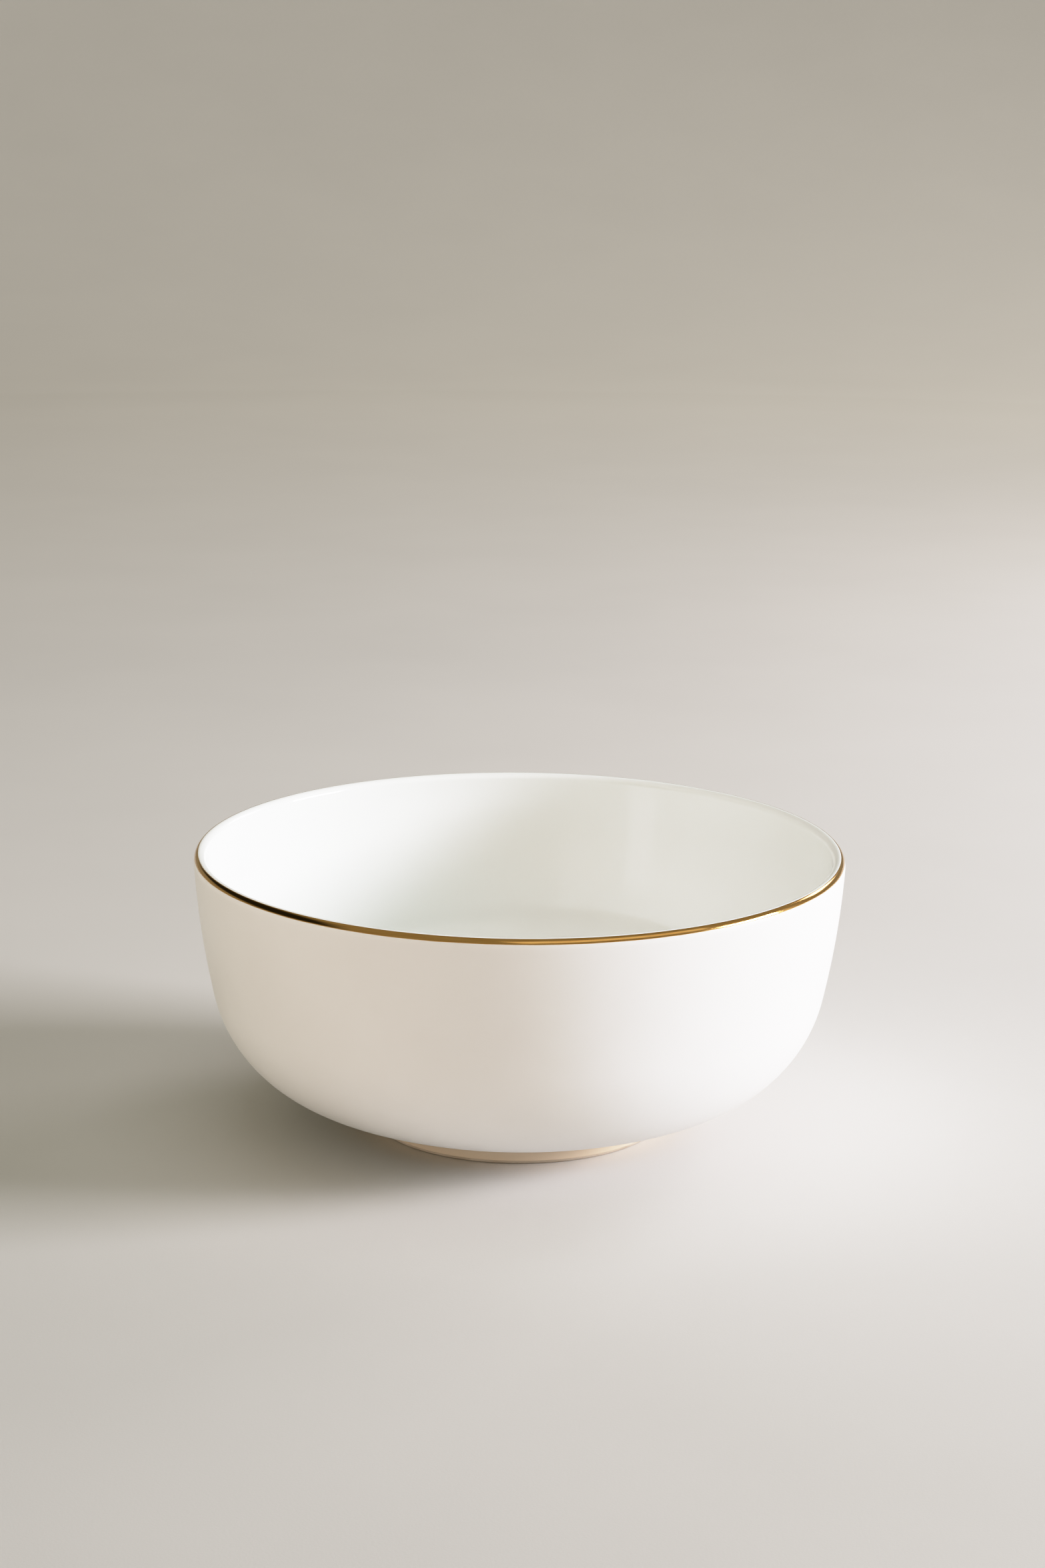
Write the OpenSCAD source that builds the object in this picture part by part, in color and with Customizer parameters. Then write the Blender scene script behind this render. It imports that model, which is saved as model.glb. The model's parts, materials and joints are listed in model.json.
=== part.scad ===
// Footed serving bowl in glazed porcelain with a gilt rim.
// Millimetres. The origin is on the table under the bowl's centre, and +Z is up.
// Every sub-part is a body turned about Z, drawn as its half section.
// A slope is how far a surface leans out from upright, in degrees.

/* [Bowl] */
// Diameter over the glaze, at the widest place just below the crown of the rim
rim_d = 230; // [222:1:240]
// Height from the table to the crown of the rim
bowl_h = 99.5; // [97:0.5:104]
// Height of the glazed floor inside, at the centre
floor_h = 8.4; // [8:0.1:9.6]

/* [Outside curve] */
// Slope of the outside just below the lip
lip_slope = 3.5; // [2:0.5:5]
// Slope where the outside wall turns into the belly
belly_top_slope = 12.4; // [11:0.2:14]
// Slope where the belly turns into the base
belly_low_slope = 67.6; // [66:0.2:69]
// Slope of the base where it meets the foot ring
base_slope = 78.3; // [77:0.1:80]
// Radius of the belly
belly_r = 48.8; // [47:0.2:51]

/* [Inside curve] */
// Slope where the inside wall turns into the belly
inner_belly_top_slope = 13; // [12:0.2:14]
// Slope where the inside belly turns into the floor
inner_belly_low_slope = 75.6; // [75:0.2:76.6]
// Radius of the belly on the inside
inner_belly_r = 44.6; // [43:0.2:46]

/* [Lip] */
// Width of the lip's outer half, from the widest place to the crown
lip_outer_w = 1.9; // [1.6:0.1:2.2]
// Height of the lip's outer half, from the widest place to the crown
lip_outer_h = 3.4; // [3:0.1:4]
// Radius of the lip's inner half
lip_inner_r = 2.4; // [2.2:0.1:2.8]

/* [Foot ring] */
// Outside diameter of the foot ring over its glaze
foot_d = 105; // [102:1:108]
// Height of the foot ring's glazed face, from the table to the belly
foot_h = 6; // [5.8:0.1:6.6]
// Width of the flat edge that the bowl stands on
bearing_w = 2.4; // [2:0.1:3]
// Radius that eases the standing edge, inside and outside
bearing_edge_r = 1.2; // [0.9:0.1:1.4]
// How much wider the foot ring is at its seat than above its eased edge
foot_taper = 0.6; // [0.3:0.1:1]
// Height of the recess under the floor, at the centre
recess_h = 4.6; // [4.4:0.1:5]
// How much the recess rises from its centre to the foot ring
recess_rise = 0.7; // [0.4:0.1:0.8]
// Width of the tongue that locates the foot ring under the bowl
tongue_w = 1.8; // [1.4:0.1:2.2]
// Height of that tongue
tongue_h = 1.2; // [0.8:0.1:1.6]

/* [Glaze and gilding] */
// Thickness of every glaze coat
glaze_t = 0.3; // [0.2:0.05:0.4]
// Depth of the gilt band's upper edge below the crown
gilt_top = 0.08; // [0.08:0.02:0.2]
// Depth of the gilt band's lower edge below the crown
gilt_low = 1.8; // [1.6:0.1:2.4]
// Height of the gold above the glaze
gilt_t = 0.2; // [0.15:0.05:0.25]

/* [Hidden] */

// Largest gap allowed between a chord and the round stretch that it follows
chord_gap = 0.02;
// Chords in each part of the lip between two of its marks
lip_chords = 4;
// Facets shown around the turned bodies
$fn = 180;

// Outside: the lip's centre, its marks and the point where the wall begins.
// The marks are angles round the lip's oval: the crown, the gilt band's upper edge, the
// joint between the two glazes hidden in the middle of the band, the band's lower edge,
// and the place where the oval has the wall's own slope.
rim_r = rim_d / 2;
lip_outer_centre = [rim_r - lip_outer_w, bowl_h - lip_outer_h];
gilt_top_mark = asin(1 - gilt_top / lip_outer_h);
gilt_low_mark = asin(1 - gilt_low / lip_outer_h);
wall_mark = -atan(tan(lip_slope) * lip_outer_h / lip_outer_w);
lip_marks = [90, gilt_top_mark, (gilt_top_mark + gilt_low_mark) / 2, gilt_low_mark, wall_mark];
wall_top = lip_outer_centre + [lip_outer_w * cos(wall_mark), lip_outer_h * sin(wall_mark)];
outside_slopes = [lip_slope, belly_top_slope, belly_low_slope, base_slope];

// Inside: the lip's centre and the point where the wall begins
lip_inner_centre = [rim_r - lip_outer_w, bowl_h - lip_inner_r];
inner_wall_top = lip_inner_centre - lip_inner_r * facing(lip_slope);
inside_slopes = [lip_slope, inner_belly_top_slope, inner_belly_low_slope, 90];

// Foot ring: the clay lies one glaze coat inside the glazed faces
foot_r = foot_d / 2;
foot_clay_r = foot_r - glaze_t;
bare_h = bearing_edge_r;
foot_inner_clay_r = foot_clay_r - bearing_w - 2 * bearing_edge_r;
recess_clay_r = foot_inner_clay_r - foot_taper;
recess_edge_z = recess_h + recess_rise + glaze_t;
tongue_r = (recess_clay_r + foot_clay_r) / 2;
belly_foot = [foot_r, foot_h];
seat = belly_foot - glaze_t * facing(base_slope);
seat_z = seat[1];

// Direction in which an outside face of this slope looks
function facing(slope) = [cos(slope), -sin(slope)];

function backwards(points) = [for (i = [len(points) - 1 : -1 : 0]) points[i]];

function all_but_first(points) = [for (i = [1 : len(points) - 1]) points[i]];

function all_but_ends(points) = [for (i = [1 : len(points) - 2]) points[i]];

// Radii of three round stretches that run smoothly into one another from the point top
// down to the point low. The middle radius is given, and the other two follow from the
// slopes at the stretches' ends, because the curve has to reach both points.
function stretch_radii(top, low, slopes, middle_r) =
    let (
        c = [for (slope = slopes) cos(slope)],
        s = [for (slope = slopes) sin(slope)],
        run = top[0] - low[0] - middle_r * (c[1] - c[2]),
        drop = top[1] - low[1] - middle_r * (s[2] - s[1]),
        divisor = (c[0] - c[1]) * (s[3] - s[2]) - (c[2] - c[3]) * (s[1] - s[0]),
        top_r = (run * (s[3] - s[2]) - drop * (c[2] - c[3])) / divisor,
        low_r = (drop * (c[0] - c[1]) - run * (s[1] - s[0])) / divisor
    )
    [top_r, middle_r, low_r];

// Chord ends on one round stretch about centre, without its first point, moved out by shift
function round_stretch(centre, r, from, to, shift) =
    let (chords = ceil(abs(to - from) / (2 * acos(1 - chord_gap / r))))
    [for (i = [1 : chords]) centre + (r + shift) * facing(from + (to - from) * i / chords)];

// Three stretches from top to low as one line of points, moved outwards by shift
function bowl_curve(top, low, slopes, middle_r, shift) =
    let (
        r = stretch_radii(top, low, slopes, middle_r),
        top_centre = top - r[0] * facing(slopes[0]),
        middle_centre = top_centre + (r[0] - r[1]) * facing(slopes[1]),
        low_centre = middle_centre + (r[1] - r[2]) * facing(slopes[2]),
        last = round_stretch(low_centre, r[2], slopes[2], slopes[3], shift)
    )
    concat(
        [top + shift * facing(slopes[0])],
        round_stretch(top_centre, r[0], slopes[0], slopes[1], shift),
        round_stretch(middle_centre, r[1], slopes[1], slopes[2], shift),
        [for (i = [0 : len(last) - 2]) last[i]],
        [low + shift * facing(slopes[3])]
    );

// A point on the lip's outer oval, so deep under the glazed surface
function lip_point(mark, depth) =
    let (out = [cos(mark) / lip_outer_w, sin(mark) / lip_outer_h])
    lip_outer_centre + [lip_outer_w * cos(mark), lip_outer_h * sin(mark)] - depth * out / norm(out);

// The lip's outer half from one of its marks to another, so deep under the glazed surface
function lip_outside(first, last, depth) =
    [for (part = [first : last - 1], i = [(part == first ? 0 : 1) : lip_chords])
        lip_point(lip_marks[part] + (lip_marks[part + 1] - lip_marks[part]) * i / lip_chords, depth)];

// The lip's inner half from the crown to just short of the wall
function lip_inside(depth) =
    let (chords = 2 * lip_chords, turn = 90 - lip_slope)
    [for (i = [0 : chords - 1])
        lip_inner_centre - (lip_inner_r - depth) * facing(90 - turn * i / chords)];

// Outside of the wall from the lip to the foot ring
function wall_outside(depth) = bowl_curve(wall_top, belly_foot, outside_slopes, belly_r, -depth);

// Inside of the bowl from the crown to the middle of the floor
function bowl_inside(depth) =
    concat(
        lip_inside(depth),
        bowl_curve(inner_wall_top, [0, floor_h], inside_slopes, inner_belly_r, depth)
    );

// Top of the recess from the axis out to r, with the clay one depth above the glazed face
function recess_top(r, depth) =
    let (dome_r = (pow(recess_clay_r, 2) + pow(recess_rise, 2)) / (2 * recess_rise), chords = 6)
    [for (i = [0 : chords]) let (x = r * i / chords)
        [x, recess_h + depth + dome_r - sqrt(pow(dome_r, 2) - pow(x, 2))]];

// Turns a half section about the bowl's axis
module turned(section) {
    rotate_extrude() polygon(section);
}

// Section of the tongue, or of the groove that it fits, standing on the seat
function tongue_section() =
    [for (corner = [[1, 0], [1, 1], [-1, 1], [-1, 0]])
        [tongue_r + corner[0] * tongue_w / 2, seat_z + corner[1] * tongue_h]];

// Fired clay wall and floor, with the seat for the foot ring cut under it
module porcelain_shell() {
    color("#efece4") turned(concat(
        backwards(bowl_inside(glaze_t)),
        all_but_first(lip_outside(0, 4, glaze_t)),
        all_but_first(wall_outside(glaze_t)),
        tongue_section(),
        [[recess_clay_r, seat_z]],
        backwards(recess_top(recess_clay_r, glaze_t))
    ));
}

// Foot ring, set on its seat by the tongue, with a bare flat edge to stand on
module foot_ring() {
    outer_ease = [foot_clay_r - bearing_edge_r, bearing_edge_r];
    inner_ease = [foot_inner_clay_r + bearing_edge_r, bearing_edge_r];
    ease_chords = 6;
    color("#e3d8c6") turned(concat(
        backwards(tongue_section()),
        [[foot_clay_r, seat_z]],
        [for (i = [0 : ease_chords]) outer_ease + bearing_edge_r * facing(90 * i / ease_chords)],
        [for (i = [0 : ease_chords]) inner_ease + bearing_edge_r * facing(90 + 90 * i / ease_chords)],
        [[recess_clay_r, recess_edge_z], [recess_clay_r, seat_z]]
    ));
}

// Gloss glaze over the floor, the inside wall and the crown, down to the joint under the gilt
module inner_glaze() {
    color("#f7f8f5") turned(concat(
        backwards(bowl_inside(0)),
        all_but_first(lip_outside(0, 2, 0)),
        backwards(lip_outside(0, 2, glaze_t)),
        all_but_first(bowl_inside(glaze_t))
    ));
}

// Satin glaze from the joint under the gilt down to just above the standing edge
module outer_glaze() {
    color("#f4efe9") turned(concat(
        lip_outside(2, 4, 0),
        all_but_first(wall_outside(0)),
        [[foot_r, bare_h + glaze_t], [foot_clay_r, bare_h], [foot_clay_r, seat_z]],
        backwards(wall_outside(glaze_t)),
        all_but_first(backwards(lip_outside(2, 4, glaze_t)))
    ));
}

// Glaze in the recess and down the foot ring's inner face
module underside_glaze() {
    clay = recess_top(recess_clay_r, glaze_t);
    face = recess_top(recess_clay_r - glaze_t, 0);
    color("#f1ebe1") turned(concat(
        face,
        [[foot_inner_clay_r - glaze_t, bare_h + glaze_t], [foot_inner_clay_r, bare_h]],
        backwards(clay)
    ));
}

// Gilt band, thin at both edges, on the outer side of the lip only
module gilt_rim() {
    color("#c98f35") turned(concat(
        lip_outside(1, 3, 0),
        backwards(all_but_ends(lip_outside(1, 3, -gilt_t)))
    ));
}

porcelain_shell();
foot_ring();
inner_glaze();
outer_glaze();
underside_glaze();
gilt_rim();
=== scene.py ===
"""Footed porcelain serving bowl with a gilt rim, dressed for its studio picture.

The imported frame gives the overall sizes. Each sub-assembly is a class that turns its
meshes about the bowl's axis from a half section and dresses them in their finish.
Lengths are in metres, and slopes are in degrees from upright, as a potter leans a rib.
"""

import json
import logging
import math
import random
from dataclasses import dataclass
from enum import Enum

import bmesh
import bpy
from mathutils import Matrix, Vector

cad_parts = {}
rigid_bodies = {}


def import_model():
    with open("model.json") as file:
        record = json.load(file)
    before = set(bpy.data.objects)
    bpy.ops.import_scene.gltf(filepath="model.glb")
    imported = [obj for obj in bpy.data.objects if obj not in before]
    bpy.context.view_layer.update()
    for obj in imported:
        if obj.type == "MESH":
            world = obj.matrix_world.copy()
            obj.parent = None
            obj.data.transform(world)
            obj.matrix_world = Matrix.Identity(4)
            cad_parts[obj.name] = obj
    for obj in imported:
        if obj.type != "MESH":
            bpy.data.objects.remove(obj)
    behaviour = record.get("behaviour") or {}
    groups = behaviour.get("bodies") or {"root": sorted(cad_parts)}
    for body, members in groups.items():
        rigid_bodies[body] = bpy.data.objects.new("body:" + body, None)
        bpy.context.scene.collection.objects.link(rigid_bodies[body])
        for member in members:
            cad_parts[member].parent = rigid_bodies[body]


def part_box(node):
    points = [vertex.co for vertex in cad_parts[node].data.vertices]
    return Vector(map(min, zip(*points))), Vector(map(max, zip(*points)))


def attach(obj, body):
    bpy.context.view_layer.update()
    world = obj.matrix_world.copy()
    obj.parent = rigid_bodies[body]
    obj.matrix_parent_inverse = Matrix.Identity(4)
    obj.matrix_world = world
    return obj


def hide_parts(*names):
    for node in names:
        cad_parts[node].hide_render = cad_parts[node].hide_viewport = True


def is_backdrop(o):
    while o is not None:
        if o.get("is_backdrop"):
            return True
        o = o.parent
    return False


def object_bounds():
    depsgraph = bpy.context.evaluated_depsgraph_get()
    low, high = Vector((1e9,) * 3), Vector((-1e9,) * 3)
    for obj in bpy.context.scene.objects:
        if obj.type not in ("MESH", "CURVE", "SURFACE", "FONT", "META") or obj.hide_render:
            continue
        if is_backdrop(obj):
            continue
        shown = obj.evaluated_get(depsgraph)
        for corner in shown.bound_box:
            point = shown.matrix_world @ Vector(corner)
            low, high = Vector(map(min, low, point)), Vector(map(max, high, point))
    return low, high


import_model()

LOG = logging.getLogger("serving_bowl")
MM = 0.001
BODY = "root"


class Slot(Enum):
    """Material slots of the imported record."""

    FIRED = "fired_porcelain"
    BARE = "bare_porcelain"
    GLOSS = "gloss_glaze"
    SATIN = "satin_glaze"
    GOLD = "gilding"


class Mark(Enum):
    """Places round the lip's outer half, from its crown down to the wall."""

    CROWN = 0
    GOLD_TOP = 1
    GLAZE_JOINT = 2
    GOLD_LOW = 3
    WALL = 4


# ---------------------------------------------------------------- half section


def facing(slope: float) -> Vector:
    """Direction in which an outside face of a slope looks.

    Args:
        slope: degrees from upright.

    Returns:
        The direction in the half section, as (away from the axis, up).
    """
    turn = math.radians(slope)
    return Vector((math.cos(turn), -math.sin(turn)))


@dataclass(frozen=True)
class Curve:
    """Three round stretches that run smoothly into one another, from top down to low.

    Only the middle radius is given. The other two follow from the slopes, because the
    curve has to reach both of its ends.
    """

    top: Vector
    low: Vector
    slopes: tuple[float, float, float, float]
    middle_r: float
    chord: float = 1.5 * MM

    def radii(self) -> tuple[float, float, float]:
        """Radii of the three stretches, from the top down.

        Returns:
            The three radii.
        """
        c = [math.cos(math.radians(slope)) for slope in self.slopes]
        s = [math.sin(math.radians(slope)) for slope in self.slopes]
        run = self.top.x - self.low.x - self.middle_r * (c[1] - c[2])
        drop = self.top.y - self.low.y - self.middle_r * (s[2] - s[1])
        divisor = (c[0] - c[1]) * (s[3] - s[2]) - (c[2] - c[3]) * (s[1] - s[0])
        top_r = (run * (s[3] - s[2]) - drop * (c[2] - c[3])) / divisor
        low_r = (drop * (c[0] - c[1]) - run * (s[1] - s[0])) / divisor
        return top_r, self.middle_r, low_r

    def points(self, shift: float) -> list[Vector]:
        """Points along the curve.

        Args:
            shift: how far the points lie outside the curve.

        Returns:
            The points from the top to the low end.
        """
        line = [self.top + shift * facing(self.slopes[0])]
        start = self.top
        for radius, slope, next_slope in zip(self.radii(), self.slopes, self.slopes[1:]):
            centre = start - radius * facing(slope)
            steps = math.ceil(radius * math.radians(next_slope - slope) / self.chord)
            for i in range(1, steps + 1):
                line.append(centre + (radius + shift) * facing(slope + (next_slope - slope) * i / steps))
            start = centre + radius * facing(next_slope)
        line[-1] = self.low + shift * facing(self.slopes[3])
        return line


@dataclass(frozen=True)
class Section:
    """Half section of the glazed bowl. Depth is measured into the clay from the glaze."""

    rim_r: float
    crown_z: float
    floor_z: float
    foot_r: float
    glaze: float = 0.3 * MM
    foot_z: float = 6.0 * MM
    lip_outer_w: float = 1.9 * MM
    lip_outer_h: float = 3.4 * MM
    lip_inner_r: float = 2.4 * MM
    lip_slope: float = 3.5
    gold_top: float = 0.08 * MM
    gold_low: float = 1.8 * MM
    belly_slopes: tuple[float, float, float] = (12.4, 67.6, 78.3)
    belly_r: float = 48.8 * MM
    inner_belly_slopes: tuple[float, float, float] = (13.0, 75.6, 90.0)
    inner_belly_r: float = 44.6 * MM
    bearing_w: float = 2.4 * MM
    bearing_edge_r: float = 1.2 * MM
    foot_taper: float = 0.6 * MM
    recess_z: float = 4.6 * MM
    recess_rise: float = 0.7 * MM
    tongue_w: float = 1.8 * MM
    tongue_h: float = 1.2 * MM

    @classmethod
    def from_frame(cls) -> "Section":
        """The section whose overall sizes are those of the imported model.

        Returns:
            The section.
        """
        outer_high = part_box("outer_glaze")[1]
        inner_low, inner_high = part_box("inner_glaze")
        foot_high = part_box("foot_ring")[1]
        return cls(
            rim_r=outer_high.x,
            crown_z=inner_high.z,
            floor_z=inner_low.z + cls.glaze,
            foot_r=foot_high.x + cls.glaze,
        )

    @property
    def outside(self) -> Curve:
        """Outside of the wall, from the lip down to the foot ring.

        Returns:
            The curve.
        """
        top = self.lip_point(self.mark(Mark.WALL), 0)
        low = Vector((self.foot_r, self.foot_z))
        return Curve(top, low, (self.lip_slope, *self.belly_slopes), self.belly_r)

    @property
    def inside(self) -> Curve:
        """Inside of the bowl, from the lip down to the middle of the floor.

        Returns:
            The curve.
        """
        top = self.lip_inner_centre - self.lip_inner_r * facing(self.lip_slope)
        low = Vector((0, self.floor_z))
        return Curve(top, low, (self.lip_slope, *self.inner_belly_slopes), self.inner_belly_r)

    @property
    def lip_inner_centre(self) -> Vector:
        """Centre of the lip's inner half."""
        return Vector((self.rim_r - self.lip_outer_w, self.crown_z - self.lip_inner_r))

    def mark(self, place: Mark) -> float:
        """Finds a place on the lip.

        Args:
            place: the place.

        Returns:
            Its angle round the lip's oval, in degrees.
        """
        top = math.degrees(math.asin(1 - self.gold_top / self.lip_outer_h))
        low = math.degrees(math.asin(1 - self.gold_low / self.lip_outer_h))
        lean = math.tan(math.radians(self.lip_slope)) * self.lip_outer_h / self.lip_outer_w
        return (90.0, top, (top + low) / 2, low, -math.degrees(math.atan(lean)))[place.value]

    def lip_point(self, angle: float, depth: float) -> Vector:
        """A point on the lip's outer half.

        Args:
            angle: degrees round the lip's oval, 90 at the crown.
            depth: distance under the glazed surface.

        Returns:
            The point in the half section.
        """
        turn = math.radians(angle)
        centre = Vector((self.rim_r - self.lip_outer_w, self.crown_z - self.lip_outer_h))
        reach = Vector((self.lip_outer_w * math.cos(turn), self.lip_outer_h * math.sin(turn)))
        out = Vector((math.cos(turn) / self.lip_outer_w, math.sin(turn) / self.lip_outer_h)).normalized()
        return centre + reach - depth * out

    def lip_outside(self, first: Mark, last: Mark, depth: float, chords: int = 10) -> list[Vector]:
        """Follows the lip's outer half from one of its marks down to another.

        Args:
            first: the upper mark.
            last: the lower mark.
            depth: distance under the glazed surface.
            chords: straight stretches from each mark to the next.

        Returns:
            The points from the upper mark to the lower one.
        """
        line: list[Vector] = []
        for place in range(first.value, last.value):
            start, end = self.mark(Mark(place)), self.mark(Mark(place + 1))
            for i in range(0 if place == first.value else 1, chords + 1):
                line.append(self.lip_point(start + (end - start) * i / chords, depth))
        return line

    def bowl_inside(self, depth: float, chords: int = 24) -> list[Vector]:
        """Follows the inside from the crown, over the lip's inner half, to the floor.

        Args:
            depth: distance under the glazed surface.
            chords: straight stretches round the lip's inner half.

        Returns:
            The points from the crown to the middle of the floor.
        """
        turn = 90 - self.lip_slope
        radius = self.lip_inner_r - depth
        lip = [self.lip_inner_centre - radius * facing(90 - turn * i / chords) for i in range(chords)]
        return lip + self.inside.points(depth)

    @property
    def foot_clay_r(self) -> float:
        """Outside radius of the foot ring's clay."""
        return self.foot_r - self.glaze

    @property
    def foot_inner_clay_r(self) -> float:
        """Inside radius of the foot ring's clay, just above its eased edge."""
        return self.foot_clay_r - self.bearing_w - 2 * self.bearing_edge_r

    @property
    def recess_clay_r(self) -> float:
        """Inside radius of the foot ring's clay at its seat."""
        return self.foot_inner_clay_r - self.foot_taper

    @property
    def seat(self) -> Vector:
        """Where the clay of the belly meets the seat of the foot ring."""
        return self.outside.points(-self.glaze)[-1]

    def recess_top(self, radius: float, depth: float, chords: int = 16) -> list[Vector]:
        """Follows the shallow dome of the recess under the floor.

        Args:
            radius: how far out from the axis it goes.
            depth: distance into the clay from the glazed surface.
            chords: straight stretches in the line.

        Returns:
            The points from the axis outward.
        """
        dome_r = (self.recess_clay_r**2 + self.recess_rise**2) / (2 * self.recess_rise)
        reach = [radius * i / chords for i in range(chords + 1)]
        return [Vector((x, self.recess_z + depth + dome_r - math.sqrt(dome_r**2 - x**2))) for x in reach]

    def tongue(self) -> list[Vector]:
        """The foot ring's tongue, or the groove that it fits, standing on the seat.

        Returns:
            Its corners, from the outer low one round to the inner low one.
        """
        middle = (self.recess_clay_r + self.foot_clay_r) / 2
        corners = ((1, 0), (1, 1), (-1, 1), (-1, 0))
        half_w, seat_z = self.tongue_w / 2, self.seat.y
        return [Vector((middle + x * half_w, seat_z + z * self.tongue_h)) for x, z in corners]


# ------------------------------------------------------------------- mesh work

TURN_STEPS = 240
DOUBLE_GAP = 0.002 * MM
SHARP_DEGREES = 40.0


def turn_round(bm: bmesh.types.BMesh, steps: int) -> None:
    """Spins a bmesh's line once about the bowl's axis.

    Args:
        bm: the bmesh, which holds the line and nothing else.
        steps: facets in the full turn.
    """
    line = bm.verts[:] + bm.edges[:]
    up = (0, 0, 1)
    bmesh.ops.spin(bm, geom=line, cent=(0, 0, 0), axis=up, angle=math.tau, steps=steps, use_merge=True)


def turned(name: str, outline: list[Vector], steps: int = TURN_STEPS) -> bpy.types.Object:
    """Turns a closed half section about the bowl's axis.

    Args:
        name: the piece's name.
        outline: corners of the half section, in order round it.
        steps: facets in a full turn.

    Returns:
        The piece, smooth-shaded, with its place in its mesh.
    """
    bm = bmesh.new()
    corners = [bm.verts.new((point.x, 0.0, point.y)) for point in outline]
    for start, end in zip(corners, corners[1:] + corners[:1]):
        if max(start.co.x, end.co.x) > DOUBLE_GAP:
            bm.edges.new((start, end))
    turn_round(bm, steps)
    bmesh.ops.remove_doubles(bm, verts=bm.verts, dist=DOUBLE_GAP)
    bmesh.ops.recalc_face_normals(bm, faces=bm.faces)
    return as_piece(name, bm)


def as_piece(name: str, bm: bmesh.types.BMesh) -> bpy.types.Object:
    """Makes a smooth-shaded object of a finished bmesh, and frees the bmesh.

    Args:
        name: the object's name.
        bm: the finished bmesh.

    Returns:
        The object, which stands at the origin.
    """
    mesh = bpy.data.meshes.new(name)
    bm.to_mesh(mesh)
    bm.free()
    mesh.shade_smooth()
    mesh.set_sharp_from_angle(angle=math.radians(SHARP_DEGREES))
    piece = bpy.data.objects.new(name, mesh)
    bpy.context.scene.collection.objects.link(piece)
    return piece


def settle(piece: bpy.types.Object, node: str, material: bpy.types.Material) -> None:
    """Dresses a piece and lets it stand for its CAD node.

    Args:
        piece: the finished piece.
        node: the CAD node that it replaces.
        material: the finish.
    """
    piece.data.materials.append(material)
    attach(piece, BODY)
    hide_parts(node)
    LOG.info("%s stands for %s: %d faces", piece.name, node, len(piece.data.polygons))


# -------------------------------------------------------------------- finishes

GLAZE_IOR = 1.52
VIEW_LIMIT = 50.0
UP = (0.0, 1.0)
DOWN = (1.0, 0.0)
CLOUDS = (0.35, 0.65)
BREATH = (0.3, 0.7)
SPECK_CORE = 0.6


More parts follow.
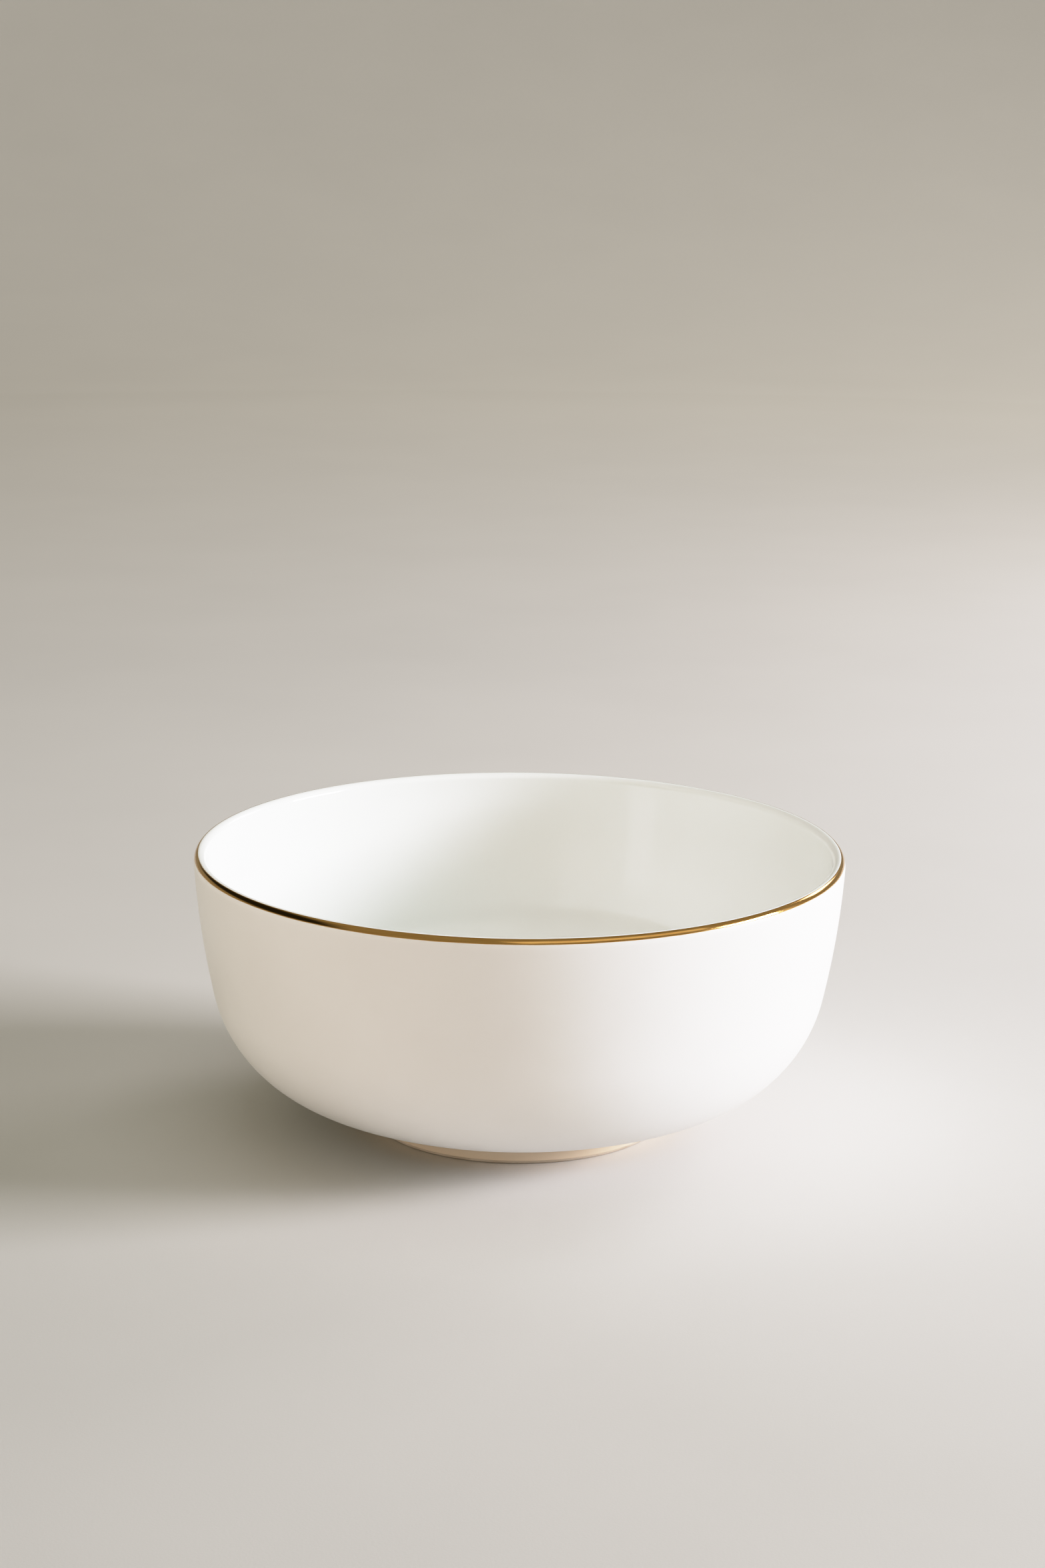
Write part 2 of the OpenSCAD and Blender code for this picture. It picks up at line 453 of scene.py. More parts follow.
class NodeBoard:
    """A material's nodes, with short ways to add and join them."""

    def __init__(self, name: str) -> None:
        """Starts a material with one shader on it.

        Args:
            name: the material's name.
        """
        self.material = bpy.data.materials.new(name)
        self.material.use_nodes = True
        self.tree = self.material.node_tree
        self.shader = self.tree.nodes["Principled BSDF"]

    @classmethod
    def on(cls, tree: bpy.types.NodeTree) -> "NodeBoard":
        """Lays a board over nodes that are already there.

        Args:
            tree: the nodes.

        Returns:
            The board.
        """
        board = cls.__new__(cls)
        board.tree = tree
        return board

    def add(self, kind: str, **values: object) -> bpy.types.Node:
        """Adds a node.

        Args:
            kind: Blender's name of the node type.
            values: properties of the node, or values of its sockets with _ for a space.

        Returns:
            The new node.
        """
        node = self.tree.nodes.new(kind)
        for key, value in values.items():
            if hasattr(node, key):
                setattr(node, key, value)
            else:
                node.inputs[key.replace("_", " ")].default_value = value
        return node

    def join(self, source: bpy.types.NodeSocket, target: bpy.types.NodeSocket) -> None:
        """Links one socket to another."""
        self.tree.links.new(source, target)

    def place(
        self, stretch: tuple[float, float, float] = (1, 1, 1), on_map: bool = False
    ) -> bpy.types.NodeSocket:
        """Coordinates on the piece.

        Args:
            stretch: how much the pattern is squeezed along each axis.
            on_map: whether the pattern follows the piece's own map instead of its space.

        Returns:
            The socket that gives the coordinates.
        """
        source = self.add("ShaderNodeTexCoord")
        mapping = self.add("ShaderNodeMapping", Scale=stretch)
        self.join(source.outputs["UV" if on_map else "Object"], mapping.inputs["Vector"])
        return mapping.outputs["Vector"]

    def noise(self, place: bpy.types.NodeSocket, size: float, detail: float = 2.0) -> bpy.types.NodeSocket:
        """Cloudy values from 0 to 1.

        Args:
            place: coordinates on the piece.
            size: about how large the clouds are, in metres.
            detail: how many finer layers lie over them.

        Returns:
            The socket that gives the values.
        """
        node = self.add("ShaderNodeTexNoise", Scale=1 / size, Detail=detail)
        self.join(place, node.inputs["Vector"])
        return node.outputs["Fac"]

    def specks(self, place: bpy.types.NodeSocket, spacing: float, radius: float) -> bpy.types.NodeSocket:
        """Small round specks.

        Args:
            place: coordinates on the piece.
            spacing: about how far apart the specks lie.
            radius: how large they are.

        Returns:
            The socket that gives 1 inside the specks and 0 between them.
        """
        node = self.add("ShaderNodeTexVoronoi", Scale=1 / spacing, Randomness=1.0)
        self.join(place, node.inputs["Vector"])
        share = radius / spacing
        return self.span(node.outputs["Distance"], (share * SPECK_CORE, share), DOWN)

    def span(
        self, value: bpy.types.NodeSocket, read: tuple[float, float], give: tuple[float, float]
    ) -> bpy.types.NodeSocket:
        """Maps one range of values to another, held at its ends.

        Args:
            value: the socket that gives the values.
            read: the range that is read.
            give: what its two ends become.

        Returns:
            The socket that gives the mapped values.
        """
        node = self.add("ShaderNodeMapRange", clamp=True)
        self.join(value, node.inputs["Value"])
        for socket, number in zip(("From Min", "From Max", "To Min", "To Max"), read + give):
            node.inputs[socket].default_value = number
        return node.outputs["Result"]

    def blend(
        self, share: bpy.types.NodeSocket, first: tuple[float, ...], second: tuple[float, ...]
    ) -> bpy.types.NodeSocket:
        """Goes from one colour to another.

        Args:
            share: how much of the second colour there is.
            first: the colour where the share is 0.
            second: the colour where it is 1.

        Returns:
            The socket that gives the colour.
        """
        node = self.add("ShaderNodeMix", data_type="RGBA")
        self.join(share, node.inputs["Factor"])
        under, over = [socket for socket in node.inputs if socket.type == "RGBA"]
        under.default_value = (*first, 1.0)
        over.default_value = (*second, 1.0)
        return next(out for out in node.outputs if out.type == "RGBA")

    def over(
        self, share: bpy.types.NodeSocket, under: bpy.types.NodeSocket, colour: tuple[float, ...]
    ) -> bpy.types.NodeSocket:
        """Lays a colour over what is under it.

        Args:
            share: how much the colour covers.
            under: the socket that gives what is under it.
            colour: the colour that is laid on.

        Returns:
            The socket that gives the result.
        """
        node = self.add("ShaderNodeMix", data_type="RGBA")
        self.join(share, node.inputs["Factor"])
        first, second = [socket for socket in node.inputs if socket.type == "RGBA"]
        self.join(under, first)
        second.default_value = (*colour, 1.0)
        return next(out for out in node.outputs if out.type == "RGBA")

    def times(self, first: bpy.types.NodeSocket, second: bpy.types.NodeSocket) -> bpy.types.NodeSocket:
        """Multiplies two values.

        Args:
            first: the socket that gives one of them.
            second: the socket that gives the other.

        Returns:
            The socket that gives their product.
        """
        node = self.add("ShaderNodeMath", operation="MULTIPLY")
        self.join(first, node.inputs[0])
        self.join(second, node.inputs[1])
        return node.outputs["Value"]

    def relief(
        self, height: bpy.types.NodeSocket, depth: float, under: bpy.types.NodeSocket | None = None
    ) -> bpy.types.NodeSocket:
        """Raises a pattern out of the surface.

        Args:
            height: the socket that gives the pattern, from 0 to 1.
            depth: how high a 1 stands, in metres.
            under: another relief that this one lies over.

        Returns:
            The socket that gives the surface's direction.
        """
        node = self.add("ShaderNodeBump", Distance=depth, Strength=1.0)
        self.join(height, node.inputs["Height"])
        if under is not None:
            self.join(under, node.inputs["Normal"])
        return node.outputs["Normal"]


@dataclass(frozen=True)
class Glaze:
    """A fired glaze: nearly even white, with soft waves, fine peel and a few pinholes."""

    name: str
    light: tuple[float, float, float]
    shade: tuple[float, float, float]
    roughness: float
    wave_size: float
    wave_depth: float
    peel_size: float
    peel_depth: float
    cloud_size: float = 42 * MM
    breath_size: float = 9 * MM
    polish_swing: tuple[float, float] = (0.9, 1.1)
    pit_spacing: float = 21 * MM
    pit_r: float = 0.22 * MM
    pit_depth: float = 0.03 * MM
    low_tint: tuple[float, float, float] | None = None
    low_tint_below: float = 6.4 * MM
    low_tint_fade: float = 2.2 * MM

    def colour(self, board: NodeBoard, place: bpy.types.NodeSocket) -> bpy.types.NodeSocket:
        """Colours the glaze, with a warm, darker tint on all of it that lies below a set height over the
        table.

        Args:
            board: the material's nodes.
            place: coordinates on the piece.

        Returns:
            The socket that gives the colour.
        """
        cloud = board.noise(place, self.cloud_size, 3.0)
        full = board.blend(board.span(cloud, CLOUDS, UP), self.light, self.shade)
        if self.low_tint is None:
            return full
        # A warm darker tint, faded in over a short band, on everything below the set height: the foot
        # ring's outside and the underside.
        parts = board.add("ShaderNodeSeparateXYZ")
        board.join(place, parts.inputs["Vector"])
        band = (self.low_tint_below, self.low_tint_below + self.low_tint_fade)
        fade = board.span(parts.outputs["Z"], band, DOWN)
        return board.over(fade, full, self.low_tint)

    def material(self) -> bpy.types.Material:
        """Makes the material.

        Returns:
            The material.
        """
        board = NodeBoard(self.name)
        place = board.place()
        board.join(self.colour(board, place), board.shader.inputs["Base Color"])
        breath = board.noise(place, self.breath_size, 2.0)
        low, high = self.polish_swing
        polish = board.span(breath, BREATH, (self.roughness * low, self.roughness * high))
        board.join(polish, board.shader.inputs["Roughness"])
        waves = board.relief(board.noise(place, self.wave_size, 1.0), self.wave_depth)
        peel = board.relief(board.noise(place, self.peel_size, 2.0), self.peel_depth, waves)
        pits = board.relief(board.specks(place, self.pit_spacing, self.pit_r), -self.pit_depth, peel)
        board.join(pits, board.shader.inputs["Normal"])
        board.shader.inputs["IOR"].default_value = GLAZE_IOR
        return board.material


@dataclass(frozen=True)
class Clay:
    """Fired clay without glaze: dry, grainy, with a few dark grains."""

    name: str
    light: tuple[float, float, float]
    shade: tuple[float, float, float]
    roughness: float = 0.86
    cloud_size: float = 6 * MM
    grain_size: float = 0.35 * MM
    grain_depth: float = 0.03 * MM
    speck_spacing: float = 2.4 * MM
    speck_r: float = 0.14 * MM
    speck_share: float = 0.45

    def material(self) -> bpy.types.Material:
        """Makes the material.

        Returns:
            The material.
        """
        board = NodeBoard(self.name)
        place = board.place()
        cloud = board.span(board.noise(place, self.cloud_size, 4.0), CLOUDS, UP)
        body = board.blend(cloud, self.light, self.shade)
        dark = tuple(part * self.speck_share for part in self.shade)
        specks = board.specks(place, self.speck_spacing, self.speck_r)
        board.join(board.over(specks, body, dark), board.shader.inputs["Base Color"])
        grain = board.relief(board.noise(place, self.grain_size, 3.0), self.grain_depth)
        board.join(grain, board.shader.inputs["Normal"])
        board.shader.inputs["Roughness"].default_value = self.roughness
        return board.material


@dataclass(frozen=True)
class Gilding:
    """Bright gold laid on with a brush: polished, with faint strokes round the rim."""

    name: str = "bright_gold"
    light: tuple[float, float, float] = (0.86, 0.53, 0.19)
    shade: tuple[float, float, float] = (0.74, 0.40, 0.12)
    roughness: float = 0.11
    stroke_length: float = 14 * MM
    stroke_width: float = 0.35 * MM
    stroke_depth: float = 0.006 * MM
    stroke_span: tuple[float, float] = (0.35, 0.7)
    polish_swing: tuple[float, float] = (0.8, 1.4)

    def material(self) -> bpy.types.Material:
        """Makes the material.

        Returns:
            The material.
        """
        board = NodeBoard(self.name)
        squeeze = self.stroke_width / self.stroke_length
        strokes = board.noise(board.place((squeeze, 1, 1), on_map=True), self.stroke_width, 3.0)
        share = board.span(strokes, self.stroke_span, UP)
        board.join(board.blend(share, self.light, self.shade), board.shader.inputs["Base Color"])
        low, high = self.polish_swing
        polish = board.span(strokes, BREATH, (self.roughness * low, self.roughness * high))
        board.join(polish, board.shader.inputs["Roughness"])
        board.join(board.relief(strokes, self.stroke_depth), board.shader.inputs["Normal"])
        board.shader.inputs["Metallic"].default_value = 1.0
        return board.material


@dataclass(frozen=True)
class Paper:
    """Matt seamless paper of the studio, with a painted glow: it gives off light of its own where it is
    far from the bowl, more on the right.
    """

    name: str = "seamless_paper"
    light: tuple[float, float, float] = (0.86, 0.845, 0.82)
    shade: tuple[float, float, float] = (0.84, 0.825, 0.80)
    # Colour of the painted glow that the paper gives off.
    painted_glow_colour: tuple[float, float, float] = (0.130, 0.119, 0.108)
    rise_r: tuple[float, float] = (0.8, 1.8)
    fall_r: tuple[float, float] = (1.9, 2.9)
    far_share: float = 0.15
    side_x: tuple[float, float] = (-0.5, 0.5)
    side_share: tuple[float, float] = (0.60, 1.78)
    cloud_size: float = 120 * MM
    tooth_size: float = 0.9 * MM
    tooth_depth: float = 0.02 * MM
    roughness: float = 0.95
    shine: float = 0.1

    def painted_glow(self, board: NodeBoard, place: bpy.types.NodeSocket) -> bpy.types.NodeSocket:
        """Paints a glow into the paper, by distance from the bowl and by side, stronger on the right.

        Args:
            board: the material's nodes.
            place: coordinates on the paper.

        Returns:
            The socket that gives the strength of the painted glow.
        """
        flat = board.add("ShaderNodeVectorMath", operation="MULTIPLY")
        board.join(place, flat.inputs[0])
        flat.inputs[1].default_value = (1.0, 1.0, 0.0)
        reach = board.add("ShaderNodeVectorMath", operation="LENGTH")
        board.join(flat.outputs["Vector"], reach.inputs[0])
        parts = board.add("ShaderNodeSeparateXYZ")
        board.join(place, parts.inputs["Vector"])
        rise = board.span(reach.outputs["Value"], self.rise_r, UP)
        fall = board.span(reach.outputs["Value"], self.fall_r, (1.0, self.far_share))
        side = board.span(parts.outputs["X"], self.side_x, self.side_share)
        return board.times(board.times(rise, fall), side)

    def material(self) -> bpy.types.Material:
        """Makes the material.

        Returns:
            The material.
        """
        board = NodeBoard(self.name)
        place = board.place()
        cloud = board.span(board.noise(place, self.cloud_size, 2.0), BREATH, UP)
        board.join(board.blend(cloud, self.light, self.shade), board.shader.inputs["Base Color"])
        tooth = board.relief(board.noise(place, self.tooth_size, 2.0), self.tooth_depth)
        board.join(tooth, board.shader.inputs["Normal"])
        # Painted glow: the paper's own emission, none near the bowl, growing far from it and stronger on
        # the right.
        board.join(self.painted_glow(board, place), board.shader.inputs["Emission Strength"])
        board.shader.inputs["Emission Color"].default_value = (*self.painted_glow_colour, 1.0)
        board.shader.inputs["Roughness"].default_value = self.roughness
        board.shader.inputs["Specular IOR Level"].default_value = self.shine
        return board.material


# -------------------------------------------------------------- sub-assemblies


@dataclass
class ClayBody:
    """The fired clay: the shell, and the foot ring luted to its seat."""

    section: Section
    fired: Clay = Clay("fired_body", (0.84, 0.82, 0.78), (0.80, 0.78, 0.73))
    # The foot ring's bare clay is much darker and browner than the shell's clay, and draws a dark line
    # along the foot where it meets the table.
    dark_bare_clay: Clay = Clay("dark_bare_foot_edge", (0.62, 0.53, 0.43), (0.52, 0.43, 0.33))

    def shell_outline(self) -> list[Vector]:
        """Half section of the wall and floor, with the seat cut under it.

        Returns:
            The section's corners in order.
        """
        s = self.section
        inside = s.bowl_inside(s.glaze)
        lip = s.lip_outside(Mark.CROWN, Mark.WALL, s.glaze)
        wall = s.outside.points(-s.glaze)
        step = [Vector((s.recess_clay_r, s.seat.y))]
        under = s.recess_top(s.recess_clay_r, s.glaze)
        return inside[::-1] + lip[1:] + wall[1:] + s.tongue() + step + under[::-1]

    def foot_outline(self, chords: int = 12) -> list[Vector]:
        """Half section of the foot ring, with its tongue above and its bare edge below.

        Args:
            chords: straight stretches round each eased edge.

        Returns:
            The section's corners in order.
        """
        s = self.section
        radius = s.bearing_edge_r
        outer = Vector((s.foot_clay_r - radius, radius))
        inner = Vector((s.foot_inner_clay_r + radius, radius))
        ease = [outer + radius * facing(90 * i / chords) for i in range(chords + 1)]
        ease += [inner + radius * facing(90 + 90 * i / chords) for i in range(chords + 1)]
        edge_z = s.recess_z + s.recess_rise + s.glaze
        top = [Vector((s.recess_clay_r, edge_z)), Vector((s.recess_clay_r, s.seat.y))]
        return s.tongue()[::-1] + [Vector((s.foot_clay_r, s.seat.y))] + ease + top

    def build(self) -> None:
        """Makes both pieces and dresses them."""
        shell = turned("fired_shell", self.shell_outline())
        settle(shell, "porcelain_shell", self.fired.material())
        foot = turned("luted_foot_ring", self.foot_outline())
        settle(foot, "foot_ring", self.dark_bare_clay.material())


@dataclass
class GlazeCoats:
    """The three glaze coats: gloss inside, satin outside and satin underneath."""

    section: Section
    gloss: Glaze = Glaze(
        "gloss_white_glaze",
        light=(0.90, 0.915, 0.895),
        shade=(0.885, 0.90, 0.88),
        roughness=0.07,
        wave_size=7 * MM,
        wave_depth=0.012 * MM,
        peel_size=0.8 * MM,
        peel_depth=0.0006 * MM,
    )
    satin: Glaze = Glaze(
        "satin_white_glaze",
        light=(0.90, 0.885, 0.865),
        shade=(0.88, 0.862, 0.84),
        roughness=0.42,
        wave_size=12 * MM,
        wave_depth=0.012 * MM,
        peel_size=0.5 * MM,
        peel_depth=0.0015 * MM,
        # Warm darker tint low on the foot ring and underneath.
        low_tint=(0.80, 0.66, 0.50),
    )

    def inside_outline(self) -> list[Vector]:
        """Half section of the gloss coat, from the floor over the crown to the joint.

        Returns:
            The section's corners in order.
        """
        s = self.section
        front = s.bowl_inside(0)[::-1] + s.lip_outside(Mark.CROWN, Mark.GLAZE_JOINT, 0)[1:]
        back = s.lip_outside(Mark.CROWN, Mark.GLAZE_JOINT, s.glaze)[::-1] + s.bowl_inside(s.glaze)[1:]
        return front + back

    def outside_outline(self) -> list[Vector]:
        """Half section of the outside coat, from the joint to just above the bare edge.

        Returns:
            The section's corners in order.
        """
        s = self.section
        front = s.lip_outside(Mark.GLAZE_JOINT, Mark.WALL, 0) + s.outside.points(0)[1:]
        lip_back = s.lip_outside(Mark.GLAZE_JOINT, Mark.WALL, s.glaze)[::-1]
        back = s.outside.points(-s.glaze)[::-1] + lip_back[1:]
        bare_z = s.bearing_edge_r
        rolled = [
            Vector((s.foot_r, bare_z + s.glaze)),
            Vector((s.foot_clay_r, bare_z)),
            Vector((s.foot_clay_r, s.seat.y)),
        ]
        return front + rolled + back

    def underside_outline(self) -> list[Vector]:
        """Half section of the coat in the recess and down the foot ring's inner face.

        Returns:
            The section's corners in order.
        """
        s = self.section
        bare_z = s.bearing_edge_r
        edge = [
            Vector((s.foot_inner_clay_r - s.glaze, bare_z + s.glaze)),
            Vector((s.foot_inner_clay_r, bare_z)),
        ]
        front = s.recess_top(s.recess_clay_r - s.glaze, 0)
        return front + edge + s.recess_top(s.recess_clay_r, s.glaze)[::-1]

    def build(self) -> None:
        """Makes the three coats and dresses them."""
        gloss, satin = self.gloss.material(), self.satin.material()
        inner = turned("inner_gloss_coat", self.inside_outline())
        settle(inner, "inner_glaze", gloss)
        outer = turned("outer_satin_coat", self.outside_outline())
        settle(outer, "outer_glaze", satin)
        underside = turned("underside_satin_coat", self.underside_outline())
        settle(underside, "underside_glaze", satin)


@dataclass
class GiltBand:
    """The gold on the outer side of the lip, laid by hand, so that its edges waver."""

    section: Section
    finish: Gilding = Gilding()
    height: float = 0.06 * MM
    chords: int = 14
    steps: int = 720
    wander: float = 0.07 * MM
    wave_turns: tuple[int, ...] = (3, 7, 16, 41, 87)
    seed: int = 11

    def wavering(self, rng: random.Random) -> list[tuple[float, float, float]]:
        """Waves that add up to one edge's wander, as (turns, share, start)."""
        return [(turns, 1 / (1 + k), rng.uniform(0, math.tau)) for k, turns in enumerate(self.wave_turns)]

    def edge_shift(self, waves: list[tuple[float, float, float]], turn: float) -> float:
        """How far an edge with these waves strays at a place round the rim."""
        total = sum(share * math.sin(turns * turn + start) for turns, share, start in waves)
        return self.wander * total / sum(share for _, share, _ in waves)

    def build(self) -> None:
        """Turns the band, lets its edges waver, maps it and dresses it."""
        s = self.section
        face = s.lip_outside(Mark.GOLD_TOP, Mark.GOLD_LOW, -self.height, self.chords // 2)
        seat = s.lip_outside(Mark.GOLD_TOP, Mark.GOLD_LOW, 0, self.chords // 2)
        band = turned("gilt_band", seat + face[1:-1][::-1], self.steps)
        self.waver(band)
        self.map_round(band)
        settle(band, "gilt_rim", self.finish.material())

    def waver(self, band: bpy.types.Object) -> None:
        """Slides the band's edges up and down the lip.

        Args:
            band: the turned band.
        """
        s = self.section
        rng = random.Random(self.seed)
        upper, lower = self.wavering(rng), self.wavering(rng)
        top, low = s.mark(Mark.GOLD_TOP), s.mark(Mark.GOLD_LOW)
        for vert in band.data.vertices:
            radius = math.hypot(vert.co.x, vert.co.y)
            turn = math.atan2(vert.co.y, vert.co.x)
            angle, depth = self.on_lip(radius, vert.co.z)
            share = (angle - low) / (top - low)
            slide = share * self.edge_shift(upper, turn) + (1 - share) * self.edge_shift(lower, turn)
            point = s.lip_point(angle + math.degrees(slide / s.lip_outer_w), depth)
            vert.co = (point.x * math.cos(turn), point.x * math.sin(turn), point.y)

    def on_lip(self, radius: float, height: float) -> tuple[float, float]:
        """Finds where a point of the band lies on the lip.

        Args:
            radius: the point's distance from the bowl's axis.
            height: its height over the table.

        Returns:
            Its angle round the lip's oval in degrees, and its depth under the glaze.
        """
        s = self.section
        centre = Vector((s.rim_r - s.lip_outer_w, s.crown_z - s.lip_outer_h))
        out = Vector((radius, height)) - centre
        angle = math.degrees(math.atan2(out.y / s.lip_outer_h, out.x / s.lip_outer_w))
        surface = s.lip_point(angle, 0) - centre
        return angle, -self.height if out.length > surface.length + self.height / 3 else 0.0

    def map_round(self, band: bpy.types.Object) -> None:
        """Maps the band by its length round the rim and its height, both in metres.

        Args:
            band: the finished band.
        """
        s = self.section
        layer = band.data.uv_layers.new(name="round_the_rim")
        for polygon in band.data.polygons:
            middle = math.atan2(polygon.center.y, polygon.center.x)
            for loop in polygon.loop_indices:
                co = band.data.vertices[band.data.loops[loop].vertex_index].co
                turn = middle + math.remainder(math.atan2(co.y, co.x) - middle, math.tau)
                layer.data[loop].uv = (turn * s.rim_r, co.z)


# ---------------------------------------------------------------------- studio


@dataclass(frozen=True)
class SoftLight:
    """A soft rectangular light on a stand, aimed at the bowl.

    Azimuth runs anticlockwise from the right-hand side, and elevation up from the
    table, both in degrees. A flagged light is kept off the paper.
    """

    name: str
    azimuth: float
    elevation: float
    width: float
    height: float
    power: float
    colour: tuple[float, float, float]
    in_gloss: bool = False
    flagged: bool = False
    distance: float = 1.4
    aim_z: float = 0.04

    def hang(self, lit: bpy.types.Collection) -> None:
        """Puts the light in the studio.

        Args:
            lit: the pieces that a flagged light reaches.
        """
        data = bpy.data.lights.new(self.name, "AREA")
        data.shape = "RECTANGLE"
        data.size = self.width
        data.size_y = self.height
        data.energy = self.power
        data.color = self.colour
        turn, rise = math.radians(self.azimuth), math.radians(self.elevation)
        way = Vector((math.cos(rise) * math.cos(turn), math.cos(rise) * math.sin(turn), math.sin(rise)))
        lamp = bpy.data.objects.new(self.name, data)
        lamp.location = way * self.distance + Vector((0, 0, self.aim_z))
        lamp.rotation_mode = "QUATERNION"
        lamp.rotation_quaternion = (-way).to_track_quat("-Z", "Y")
        lamp.visible_camera = False
        lamp.visible_glossy = self.in_gloss
        if self.flagged:
            lamp.light_linking.receiver_collection = lit
        bpy.context.scene.collection.objects.link(lamp)


@dataclass
class Studio:
    """Seamless paper, soft light and the camera."""

    floor_r: float = 1.9
    sweep_r: float = 1.6
    wall_h: float = 3.2
    steps: int = 96
    sweep_chords: int = 32
    camera_lens: float = 85.0
    camera_back: float = 1.2665
    camera_height: float = 0.4369
    camera_pitch: float = 13.92
    camera_roll: float = 0.538
    camera_yaw: float = 0.035
    lights: tuple[SoftLight, ...] = (
        SoftLight("window", -4, 15.5, 0.81, 0.45, 61.5, (0.942, 0.925, 1.0), in_gloss=True, distance=2.1),
        SoftLight("window_side", 45, 24, 0.50, 0.30, 3.2, (1.00, 0.93, 0.98), in_gloss=True),
        SoftLight("sky_top", 0, 89, 0.90, 0.90, 2.3, (0.94, 0.98, 1.00)),
        SoftLight("glow_top", 0, 89, 0.90, 0.90, 5.8, (0.99, 0.94, 0.98), flagged=True),
        SoftLight("glow_in_right", 0, 34, 0.60, 0.30, 4.0, (0.78, 0.95, 1.00), flagged=True),
        SoftLight("glow_sky", -55, 42, 1.60, 0.50, 1.3, (1.00, 0.92, 0.80), in_gloss=True, flagged=True),
        SoftLight("glow_left", 180, 26, 0.60, 0.40, 2.8, (0.95, 1.00, 0.95), flagged=True),
        SoftLight("glow_front", -130, 20, 0.60, 0.40, 3.2, (1.00, 0.72, 0.62), flagged=True),
        SoftLight("glow_under_front", -110, 4, 0.60, 0.16, 1.2, (0.80, 0.90, 1.00), flagged=True),
        SoftLight("glow_under_left", -155, 3, 0.60, 0.16, 1.3, (1.00, 0.90, 0.62), flagged=True),
    )
    air: tuple[float, float, float] = (0.274, 0.252, 0.186)
    dark_azimuth: float = 160.0
    dark_edge: tuple[float, float] = (0.60, 0.74)
    dark_share: float = 0.05
    horizon_rise: tuple[float, float] = (0.14, 0.24)
    film_knee: float = 0.6
    film_white: float = 3.0
    film_stops: tuple[float, ...] = (0.3, 0.6, 0.7, 0.8, 0.9, 1.0, 1.15, 1.3, 1.5, 1.8, 2.2)

    def lay_paper(self) -> None:
        """Lays the round floor and turns the sweep that rises from its edge."""
        paper = Paper().material()
        bm = bmesh.new()
        bmesh.ops.create_circle(bm, cap_ends=True, segments=self.steps, radius=self.floor_r)
        floor = as_piece("studio_floor", bm)
        centre = Vector((self.floor_r, self.sweep_r))
        chords = self.sweep_chords
        rise = [centre + self.sweep_r * facing(90 - 90 * i / chords) for i in range(chords + 1)]
        rise.append(Vector((self.floor_r + self.sweep_r, self.wall_h)))
        bm = bmesh.new()
        line = [bm.verts.new((point.x, 0.0, point.y)) for point in rise]
        for start, end in zip(line, line[1:]):
            bm.edges.new((start, end))
        turn_round(bm, self.steps)
        bmesh.ops.recalc_face_normals(bm, faces=bm.faces)
        sweep = as_piece("studio_sweep", bm)
        for ray in ("visible_diffuse", "visible_glossy", "visible_transmission", "visible_shadow"):
            setattr(sweep, ray, False)
        for piece in (floor, sweep):
            piece.data.materials.append(paper)
            piece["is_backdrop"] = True

    def fill_air(self) -> None:
        """Sets the soft light of the room: pale at the horizon, and dark on the left above it."""
        world = bpy.data.worlds.new("studio_air")
        bpy.context.scene.world = world
        world.use_nodes = True
        board = NodeBoard.on(world.node_tree)
        way = board.add("ShaderNodeTexCoord").outputs["Generated"]
        parts = board.add("ShaderNodeSeparateXYZ")
        board.join(way, parts.inputs["Vector"])
        leftward = board.add("ShaderNodeVectorMath", operation="DOT_PRODUCT")
        board.join(way, leftward.inputs[0])
        turn = math.radians(self.dark_azimuth)
        leftward.inputs[1].default_value = (math.cos(turn), math.sin(turn), 0.0)
        side = board.span(leftward.outputs["Value"], self.dark_edge, (1.0, self.dark_share))
        horizon = board.span(parts.outputs["Z"], self.horizon_rise, DOWN)
        room = board.add("ShaderNodeMath", operation="MAXIMUM")
        board.join(side, room.inputs[0])
        board.join(horizon, room.inputs[1])
        background = world.node_tree.nodes["Background"]
        background.inputs["Color"].default_value = (*self.air, 1.0)
        board.join(room.outputs["Value"], background.inputs["Strength"])

    def stand_camera(self) -> None:
        """Stands the camera in front of the bowl and above it."""
        data = bpy.data.cameras.new("studio_camera")
        data.lens = self.camera_lens
        data.clip_end = VIEW_LIMIT
        camera = bpy.data.objects.new("studio_camera", data)
        turn = Matrix.Rotation(-math.radians(self.camera_yaw), 4, "Z")
        pitch = Matrix.Rotation(math.radians(90 - self.camera_pitch), 4, "X")
        roll = Matrix.Rotation(math.radians(self.camera_roll), 4, "Z")
        stand = Matrix.Translation((0, -self.camera_back, self.camera_height))
        camera.matrix_world = stand @ turn @ pitch @ roll
        bpy.context.scene.collection.objects.link(camera)
        bpy.context.scene.camera = camera

    def light_up(self) -> None:
        """Hangs the lights. The flagged ones reach only the pieces of the bowl."""
        lit = bpy.data.collections.new("lit_by_flagged_lights")
        for piece in bpy.data.objects:
            if piece.type == "MESH" and not piece.name.startswith("studio"):
                lit.objects.link(piece)
        for light in self.lights:
            light.hang(lit)

    def ease_highlights(self) -> None:
        """Rolls bright values off softly above the knee, as film does."""
        view = bpy.context.scene.view_settings
        view.view_transform = "Standard"
        view.use_curve_mapping = True
        view.curve_mapping.white_level = (self.film_white,) * 3
        curve = view.curve_mapping.curves[3]
        room = 1 - self.film_knee
        for value in self.film_stops:
            past = max(0.0, value - self.film_knee)
            shown = min(value, self.film_knee) + room * (1 - math.exp(-past / room))
            curve.points.new(value / self.film_white, shown)
        view.curve_mapping.update()

    def build(self) -> None:
        """Sets up the whole studio."""
        self.lay_paper()
        self.fill_air()
        self.stand_camera()
        self.light_up()
        self.ease_highlights()
        LOG.info("studio set with %d soft lights", len(self.lights))


def corners() -> list[list[float]]:
    """The shown object's lowest and highest corners as plain lists."""
    return [list(corner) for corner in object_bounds()]


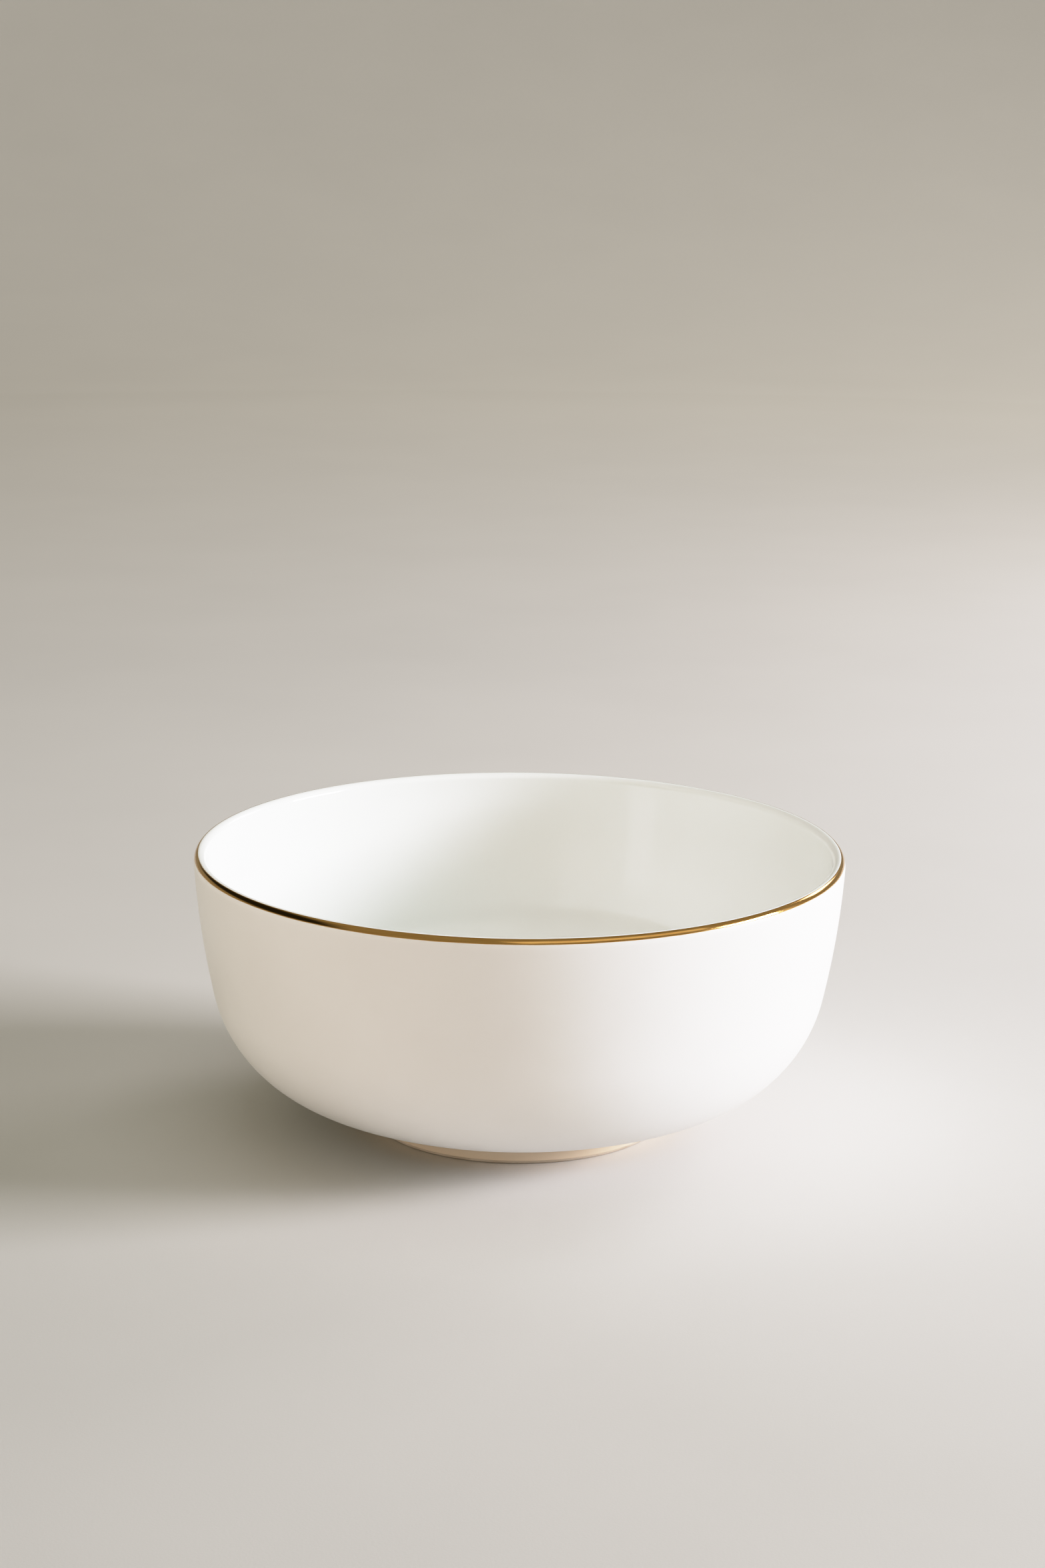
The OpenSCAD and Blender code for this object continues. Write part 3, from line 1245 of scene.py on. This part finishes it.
def main() -> None:
    """Builds the bowl and its studio in order."""
    logging.basicConfig(level=logging.INFO, format="%(name)s: %(message)s")
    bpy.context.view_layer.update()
    section = Section.from_frame()
    ClayBody(section).build()
    GlazeCoats(section).build()
    GiltBand(section).build()
    Studio().build()


if __name__ == "__main__":
    main()
